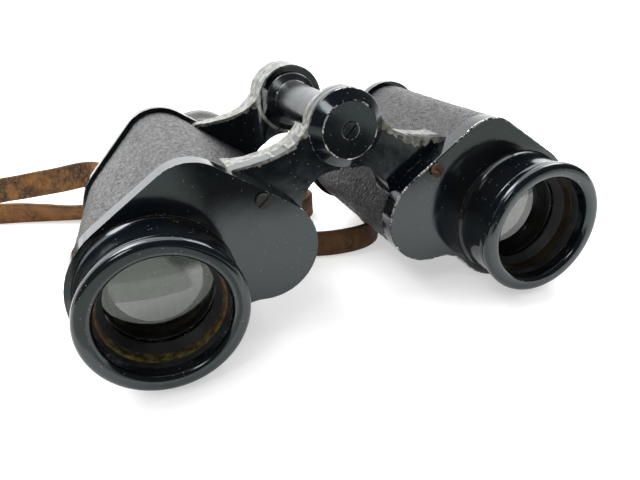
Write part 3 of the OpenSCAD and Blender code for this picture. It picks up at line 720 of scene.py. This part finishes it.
for side, sign in SIDES.items():
    body = side + "_barrel"
    # The loop round the lug's bar: one layer carries on as the strap, the other ends under it
    loop = [(14.2, 0.3), (12.0, 0.55), (9.0, 0.95), (6.5, 1.15), (4.5, 1.6), (2.6, 2.4)]
    loop += arc_points((0, 0), 2.9, math.pi / 2, math.pi * 1.5, 10)
    loop += [(2.6, -2.4), (4.5, -1.65), (6.5, -1.2), (9.0, -1.05), (11.6, -1.25), (13.0, -1.45)]
    smooth = natural_curve([(u, v, 0.0) for u, v in loop], 0.6)
    verts = []
    section = strip_section(STRAP_WIDTH, STRAP_THICK * 0.92, 0.8)
    for i, (u, v, _) in enumerate(smooth):
        a, b = smooth[max(i - 1, 0)], smooth[min(i + 1, len(smooth) - 1)]
        du, dv = b[0] - a[0], b[1] - a[1]
        size = math.hypot(du, dv)
        nu, nv = dv / size, -du / size
        for across, w, edge in section:
            r = across + 0.08 * noise.noise(Vector((i * 0.15, w * 0.3, sign * 4.0)))
            verts.append(at_lug(u + nu * r, v + nv * r, w, sign))
    end = strip_object(side + "_strap_loop", verts, section, -1)
    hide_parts(side + "_strap_end")
    # Keeper: a narrow band round both layers, its ends sewn together underneath
    verts = []
    rows = 40
    half = [(0.0, -0.5), (0.25, -0.5), (0.45, -0.25), (0.5, 0.0), (0.45, 0.25), (0.25, 0.5), (0.0, 0.5)]
    ring = [(KEEPER_U + x * KEEPER_WIDTH, t) for x, t in half]
    ring += [(KEEPER_U - x * KEEPER_WIDTH, t) for x, t in half[::-1][1:-1]]
    for i in range(rows):
        a = 2 * math.pi * i / rows
        rv, rw = squared(math.cos(a)), squared(math.sin(a))
        for u, t in ring:
            grow = 0.55 + t
            verts.append(at_lug(u, rv * (2.15 + grow), rw * (STRAP_WIDTH / 2 + 0.1 + grow), sign))
    faces = grid_faces(rows, len(ring), True, True)
    keeper = outward(new_object(side + "_keeper_band", verts, faces, [leather_grain]))
    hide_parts(side + "_strap_keeper")
    # Stitches across the doubled end
    verts, faces = [], []
    for row in range(5):
        w0 = STITCH_GAP * (row - 2)
        for layer in (1, -1):
            base = len(verts)
            for i in range(RINGS):
                t = i / (RINGS - 1)
                lift = math.sin(math.pi * t)
                radius = STITCH_R * (0.55 + 0.45 * lift)
                w = w0 + STITCH_LENGTH * (t - 0.5)
                for j in range(AROUND):
                    b = 2 * math.pi * j / AROUND
                    v = layer * (1.5 + STITCH_R * lift + radius * math.cos(b) * 0.8)
                    verts.append(at_lug(STITCH_U + radius * math.sin(b), v, w, sign))
            last = base + (RINGS - 1) * AROUND
            faces += [tuple(base + k for k in f) for f in grid_faces(RINGS, AROUND, False, True)]
            faces += [tuple(start + k for k in range(AROUND)) for start in (base, last)]
    stitches = outward(new_object(side + "_strap_stitches", verts, faces, [linen]))
    for piece in (end, keeper, stitches):
        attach(piece, body)

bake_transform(strap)


# ---------------------------------------------------------------- leatherette covering

# Circles that a barrel's outline runs round, each its centre and radius; FILLET joins two of them inwards
INNER = (Vector((27.8, -31.0)), 15.7)
TOP = (Vector((46.8, -14.3)), 12.7)
FRONT_LOBE = (Vector((59.0, -35.8)), 23.6)
BACK_LOBE = (Vector((56.0, -36.9)), 21.3)
FILLET = 12.0
# Stations along the hinge axis: of the covering, and of the shell whose taper it follows
COVER_END, REAR_Y = 21.5, 83.6
SHELL_Y, SHELL_END = 17.4, 84.6
COVER_GROW, UNDER_GROW = -0.4, -1.15
FADE = 0.8


def quarter(v):
    """v turned left by a quarter turn."""
    return Vector((-v.y, v.x))


def angle(v):
    return math.atan2(v.y, v.x)


def below(a, b):
    """Angle b, a turn back where it isn't below a."""
    return b - 2 * math.pi if b > a else b


def above(a, b):
    """Angle b, a turn on where it isn't above a."""
    return b + 2 * math.pi if b < a else b


def tangent_angle(a, b):
    """Direction of the normal where a belt round circles a and b leaves them."""
    u = (b[0] - a[0]).normalized()
    k = (a[1] - b[1]) / (b[0] - a[0]).length
    return angle(u * k + quarter(u) * math.sqrt(1 - k * k))


def barrel_outline(grow, share, count):
    """count points evenly spaced round a barrel's outline, a share of the way to its rear cover."""
    lobe = (FRONT_LOBE[0].lerp(BACK_LOBE[0], share), FRONT_LOBE[1] + (BACK_LOBE[1] - FRONT_LOBE[1]) * share)
    ra, rb = INNER[1] + FILLET, lobe[1] + FILLET
    gap = lobe[0] - INNER[0]
    k = (ra * ra - rb * rb + gap.length_squared) / (2 * gap.length)
    u = gap.normalized()
    foot = INNER[0] + u * k - quarter(u) * math.sqrt(ra * ra - k * k)
    n1, n2 = tangent_angle(INNER, TOP), tangent_angle(TOP, lobe)
    start, end = angle(foot - INNER[0]), angle(foot - lobe[0])
    back, front = angle(lobe[0] - foot), angle(INNER[0] - foot)
    loop = arc_points(INNER[0], INNER[1] + grow, start, below(start, n1), 80)
    loop += arc_points(TOP[0], TOP[1] + grow, n1, below(n1, n2), 60)
    loop += arc_points(lobe[0], lobe[1] + grow, n2, below(n2, end), 120)
    loop += arc_points(foot, FILLET - grow, back, above(back, front), 40)
    loop = [p for i, p in enumerate(loop) if math.dist(p, loop[i - 1]) > 1e-6]
    lengths = [math.dist(p, loop[(i + 1) % len(loop)]) for i, p in enumerate(loop)]
    step, out, at, walked = sum(lengths) / count, [], 0, 0.0
    for i in range(count):
        want = i * step
        while walked + lengths[at] < want:
            walked += lengths[at]
            at += 1
        t = (want - walked) / lengths[at]
        a, b = loop[at], loop[(at + 1) % len(loop)]
        out.append((a[0] + (b[0] - a[0]) * t, a[1] + (b[1] - a[1]) * t))
    return out


def grain_height(p, seed):
    """Height of the leatherette's pressed grain at a point in millimetres."""
    q = Vector((p.x, p.y * 0.7, p.z)) + Vector((seed, 0.0, 0.0))
    folds = abs(noise.noise(q * 1.15)) * 2.2 - 0.5
    small = noise.noise(q * 2.6 + Vector((9.0, 4.0, 1.0)))
    broad = noise.noise(q * 0.16)
    return 0.20 * folds + 0.12 * small + 0.05 * broad


ROUND, ALONG = 400, 124
for side, sign in SIDES.items():
    verts = []
    shares = [(y - SHELL_Y) / (SHELL_END - SHELL_Y) for y in (COVER_END, REAR_Y)]
    ends = [barrel_outline(COVER_GROW, share, ROUND) for share in shares]
    inside = [barrel_outline(UNDER_GROW, share, ROUND) for share in shares]
    for row in range(ALONG + 3):
        t = min(max((row - 1) / ALONG, 0.0), 1.0)
        rim = row in (0, ALONG + 2)
        source = inside if rim else ends
        y = COVER_END + 0.03 + (REAR_Y - COVER_END - 0.06) * t
        for i in range(ROUND):
            a, b = source[0][i], source[1][i]
            before, after = source[0][i - 1], source[0][(i + 1) % ROUND]
            out = Vector((before[1] - after[1], after[0] - before[0])).normalized()
            p = Vector((a[0] + (b[0] - a[0]) * t, y, a[1] + (b[1] - a[1]) * t))
            lift = 0.0 if rim else grain_height(p, 40.0 * sign)
            # The grain dies out at both rims
            fade = min(1.0, min(t, 1 - t) * 62 / FADE)
            lift = lift * fade - 0.25 * (1 - fade)
            verts.append(place(p.x + out.x * lift, p.y, p.z + out.y * lift, sign))
    faces = grid_faces(ALONG + 3, ROUND, False, True)
    cover = outward(new_object(side + "_leatherette", verts, faces, [skin]))
    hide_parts(side + "_leather")
    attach(cover, side + "_barrel")


# ---------------------------------------------------------------- turned details

OBJECTIVE = (59.0, -35.8)
EYEPIECE = (29.2, -24.8)
LENS_R = 15.4
CROWN_JOIN, FLINT_JOIN = 15.2, 16.8
BEZEL_R, BORE_R, FRONT_Y = 21.9, 17, -0.6
LIP_Y = 1.7
TEETH = 84
SEAM_R = 21.86


def turned(name, centre, rows, segments, material, side, body, radius=None, closed=True):
    """A mesh turned about an axis along Y. rows are (radius, station); radius(r, y, angle) may vary it."""
    verts = []
    for r, y in rows:
        for i in range(segments):
            a = 2 * math.pi * i / segments
            rr = radius(r, y, a) if radius else r
            verts.append(place(centre[0] + rr * math.cos(a), y, centre[1] + rr * math.sin(a), side))
    faces = grid_faces(len(rows), segments, closed, True)
    if not closed:
        faces.append(tuple(range(segments)))
        faces.append(tuple(len(verts) - 1 - i for i in range(segments)))
    obj = outward(new_object(name, verts, faces, [material]))
    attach(obj, body)
    return obj


def knurl(r, y, a):
    """Radius of the dioptre ring, with teeth cut round its grip."""
    if r < 14.2 or not 93.7 < y < 97.7:
        return r
    tooth = abs((a * TEETH / (2 * math.pi)) % 1.0 - 0.5) * 2
    return r - 0.38 * (1 - min(1.0, tooth * 1.7))


def seam(seed, radius):
    """Radius of a bead of dirt: it swells and breaks off as it goes round."""

    def at(r, y, a):
        ring = Vector((math.cos(a) * 6, math.sin(a) * 6, seed))
        size = 0.04 + 0.20 * max(0.0, noise.noise(ring * 1.4)) + 0.14 * max(0.0, noise.noise(ring * 7.0))
        return radius + (r - radius) * size / 0.3

    return at


def lens_rows(radius, front, rear, front_sag, rear_sag, count=20):
    """Section of a lens from its front middle round its rim to its rear middle."""

    def cap(share, sag):
        if not sag:
            return 0.0
        size = (radius * radius + sag * sag) / (2 * abs(sag))
        depth = math.sqrt(size * size - (radius * share) ** 2) - (size - abs(sag))
        return math.copysign(depth, sag)

    shares = [max(i / count, 0.002) for i in range(count + 1)]
    rows = [(radius * x, front - cap(x, front_sag)) for x in shares]
    rows[-1] = (radius, front + 0.05)
    rows.insert(-1, (radius * 0.997, front - cap(0.997, front_sag)))
    return rows + [(radius, rear - 0.05)] + [(radius * x, rear + cap(x, rear_sag)) for x in shares[::-1][1:]]


for side, sign in SIDES.items():
    body = side + "_barrel"
    # The faces where crown and flint meet are cemented, so they neither bend nor mirror light
    rows = lens_rows(LENS_R, 12.75, 15.2, 1.65, 1.3)
    crown = turned(side + "_crown_lens", OBJECTIVE, rows, 192, front_glass, sign, body, closed=False)
    rows = lens_rows(LENS_R, 15.4, 18.4, -1.3, -0.4)
    flint = turned(side + "_flint_lens", OBJECTIVE, rows, 128, front_glass, sign, body, closed=False)
    for lens, node in ((crown, "_objective_crown"), (flint, "_objective_flint")):
        lens.data.materials.append(cement)
        for face in lens.data.polygons:
            station = face.center.y / MM + HINGE_Y
            joined = station > CROWN_JOIN if lens == crown else station < FLINT_JOIN
            if joined and abs(face.normal.y) > 0.5:
                face.material_index = 1
        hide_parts(side + node)

    rows = [(11.38, 92.4), (13.5, 92.4), (14.0, 92.6), (14.35, 93.1), (14.5, 93.6), (14.5, 93.8)]
    rows += [(14.5, 93.9 + 0.46 * i) for i in range(9)]
    rows += [(14.35, 97.85), (14.0, 98.0), (13.4, 98.0), (13.4, 101.2), (13.2, 101.4)]
    rows += [(9.5, 101.4), (9.5, 97.4), (11.38, 97.4)]
    ring = turned(side + "_knurled_ring", EYEPIECE, rows, 504, plastic, sign, side + "_dioptre", knurl)
    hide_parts(side + "_dioptre_ring")

    middle, half, depth = (BORE_R + BEZEL_R) / 2, (BEZEL_R - BORE_R) / 2, LIP_Y - FRONT_Y
    rows = [(BORE_R, 6.0), (BORE_R, 3.6)]
    for a in (math.radians(degrees) for degrees in range(0, 181, 6)):
        inwards = math.copysign(abs(math.cos(a)) ** 0.8, math.cos(a))
        rows.append((middle - half * inwards, LIP_Y - depth * math.sin(a) ** 0.8))
    rows += [(BEZEL_R - 0.15, 2.5), (BEZEL_R - 0.5, 3.1), (BEZEL_R - 1.1, 3.7), (21.15, 4.3), (20.92, 5.2)]
    rows += [(20.85, 8.0), (20.8, 12.3), (20.9, 13.4), (21.2, 14.3), (21.55, 14.9), (21.8, 15.3)]
    rows += [(21.8, 15.5), (18.5, 15.5), (18.5, 20.4), (17.2, 20.4), (17.2, 6.0)]
    tube = turned(side + "_bezel_tube", OBJECTIVE, rows, 256, black_dusty, sign, body)
    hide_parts(side + "_objective_tube")

    rows = [(16.99, 3.7)]
    for i in range(10):
        rows += [(16.97, 3.75 + 0.22 * i), (16.83, 3.86 + 0.22 * i)]
    rows += [(16.99, 5.98)]
    threads = turned(side + "_bore_threads", OBJECTIVE, rows, 160, interior, sign, body)

    corners = [math.radians(degrees) for degrees in range(0, 360, 45)]
    bead = [(SEAM_R + 0.3 * math.cos(a), 15.56 + 0.14 * math.sin(a)) for a in corners]
    swollen = seam(3.0 * sign, SEAM_R)
    dirt = turned(side + "_seam_dirt", OBJECTIVE, bead, 360, seam_crust, sign, body, swollen)


# ---------------------------------------------------------------- floor, light and surroundings


def stage_plane(name, x, y, z, material):
    """A level rectangle with one material."""
    corners = [(x[0], y[0], z), (x[1], y[0], z), (x[1], y[1], z), (x[0], y[1], z)]
    obj = new_object(name, corners, [(0, 1, 2, 3)], [material], smooth=False)
    return obj


s = Shader("floor_paper")
fleck = s.noise(1500.0, 3.0)
paper = s.surface(
    Base_Color=s.mix(s.span(fleck, 0.3, 0.7), (0.60, 0.60, 0.595), (0.63, 0.63, 0.625)),
    Roughness=0.7,
    Specular_IOR_Level=0.2,
    Emission_Color=(1.0, 1.0, 1.0),
    Emission_Strength=0.50,
)
stage_plane("floor", (-9, 9), (-9, 9), -0.0002, paper)

# A dark sheet in front of the object that only reflections and glass see: painted reflection of the darker
# table beyond the paper's front edge and of the shade in front of the object, dark between the barrels with
# a soft edge, and grey in front of them with a sharp one
CARD_X, CARD_HALF = 0.036, (0.060, 0.074)
s = Shader("dark_reflection_card")
x, y, z = s.axes()
beside = s.span(s.math("ABSOLUTE", s.math("SUBTRACT", x, CARD_X)), *CARD_HALF)
limit = s.fade(beside, -0.139, s.span(x, 0.0, 0.08, -0.087, -0.150))
blur = s.fade(beside, 0.024, 0.002)
offset = s.math("DIVIDE", s.math("SUBTRACT", y, limit), blur)
share = s.span(offset, -1.0, 1.0, 1.0, 0.0)
tone = s.mix(beside, (0.020, 0.022, 0.020), (0.40, 0.43, 0.39))
dark = s.add("BsdfDiffuse", {"Color": tone})
clear = s.add("BsdfTransparent")
both = s.add("MixShader", {0: share, 1: clear.outputs[0], 2: dark.outputs[0]})
s.tree.links.new(both.outputs[0], s.output.inputs["Surface"])
card = stage_plane("dark_reflection_card", (-2, 2), (-3, -0.08), 0.0004, s.material)
card.visible_camera = False
card.visible_diffuse = False
card.visible_shadow = False

world = bpy.data.worlds.new("studio")
bpy.context.scene.world = world
world.use_nodes = True
tree = world.node_tree
tree.nodes.clear()
coords = tree.nodes.new("ShaderNodeTexCoord")
axes = tree.nodes.new("ShaderNodeSeparateXYZ")
tree.links.new(coords.outputs["Generated"], axes.inputs["Vector"])


def world_node(kind, inputs, **settings):
    node = tree.nodes.new("ShaderNode" + kind)
    for key, value in settings.items():
        setattr(node, key, value)
    for key, value in inputs.items():
        if isinstance(value, bpy.types.NodeSocket):
            tree.links.new(value, node.inputs[key])
        else:
            node.inputs[key].default_value = value
    return node.outputs[0]


def world_span(value, low, high, to_low=0.0, to_high=1.0, easing="SMOOTHSTEP"):
    inputs = {"Value": value, "From Min": low, "From Max": high, "To Min": to_low, "To Max": to_high}
    return world_node("MapRange", inputs, interpolation_type=easing)


# Bright behind the object and above the horizon, and dark overhead and behind the camera
AMBIENT, BRIGHT = 0.10, 2.5
away = world_span(axes.outputs["Y"], 0.10, 0.42)
above_horizon = world_span(axes.outputs["Z"], 0.20, 0.30, 0.80, 1.0)
lit = world_node("Math", {0: away, 1: above_horizon}, operation="MULTIPLY")
strength = world_span(lit, 0.0, 1.0, AMBIENT, BRIGHT, "LINEAR")
background = world_node("Background", {"Color": (0.985, 0.99, 1.0, 1.0), "Strength": strength})
world_out = tree.nodes.new("ShaderNodeOutputWorld")
tree.links.new(background, world_out.inputs["Surface"])


def lamp(name, kind, position, target, energy, size):
    """A lamp aimed at a target. size is a box's two sides in metres, or the sun's angle."""
    data = bpy.data.lights.new(name, kind)
    data.energy = energy
    if kind == "AREA":
        data.shape = "RECTANGLE"
        data.size, data.size_y = size
    if kind == "SUN":
        data.angle = size
    obj = bpy.data.objects.new(name, data)
    bpy.context.scene.collection.objects.link(obj)
    obj.location = position
    way = Vector(target) - Vector(position)
    obj.rotation_euler = way.to_track_quat("-Z", "Y").to_euler()
    return obj


sun = lamp("soft_sun", "SUN", (-0.1, 0.1, 1.5), (0, 0, 0), 1.5, math.radians(110))
sun.visible_glossy = False
lamp("top_box", "AREA", (-0.35, 0.25, 0.75), (0, 0, 0.03), 6.0, (0.5, 0.35))
lamp("over_box", "AREA", (0.0, 0.03, 0.9), (0, 0.03, 0.03), 2.6, (0.9, 0.3))
lamp("front_box", "AREA", (-0.46, -0.50, 0.70), (0, 0, 0.05), 1.7, (0.22, 0.3))
lamp("side_box", "AREA", (0.55, 0.15, 0.6), (0, 0, 0.03), 3.0, (0.3, 0.4))

bpy.context.scene.view_settings.view_transform = "Standard"
bpy.context.scene.view_settings.look = "None"
